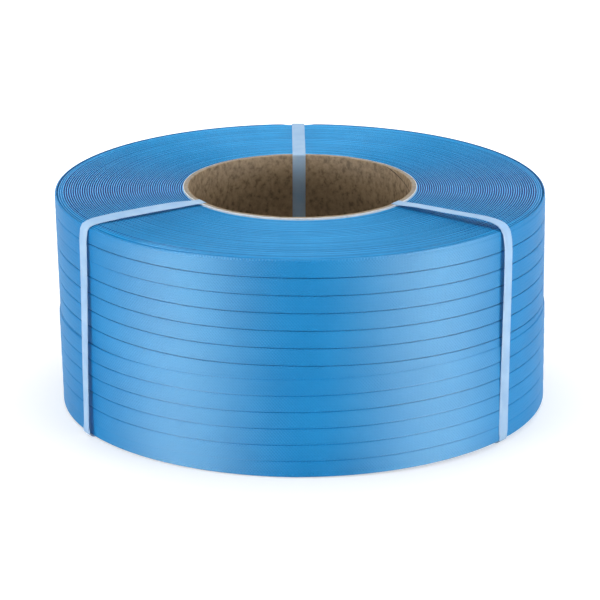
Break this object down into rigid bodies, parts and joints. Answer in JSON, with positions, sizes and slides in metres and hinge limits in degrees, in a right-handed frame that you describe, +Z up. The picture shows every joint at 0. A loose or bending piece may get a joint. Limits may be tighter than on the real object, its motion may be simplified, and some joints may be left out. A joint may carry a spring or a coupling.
{
  "type": "polypropylene strapping coil",
  "caption": "Coil of blue embossed polypropylene strapping on a paper core, held by pale tie bands, lying flat on its end.",
  "frame": {"origin": "centre of the coil's underside, on the plane of the tie bands it rests on", "axes": "+Z up along the coil's axis, the front of the picture towards -Y"},
  "size_m": [0.438, 0.4393, 0.1974],
  "materials": {
    "strap": "embossed satin",
    "board": "matt",
    "tie": "translucent satin"
  },
  "bodies": {
    "root": {"core_tube": "board", "strap_winding": "strap", "tie_band_1": "tie", "tie_band_2": "tie", "tie_band_3": "tie"}
  },
  "joints": []
}
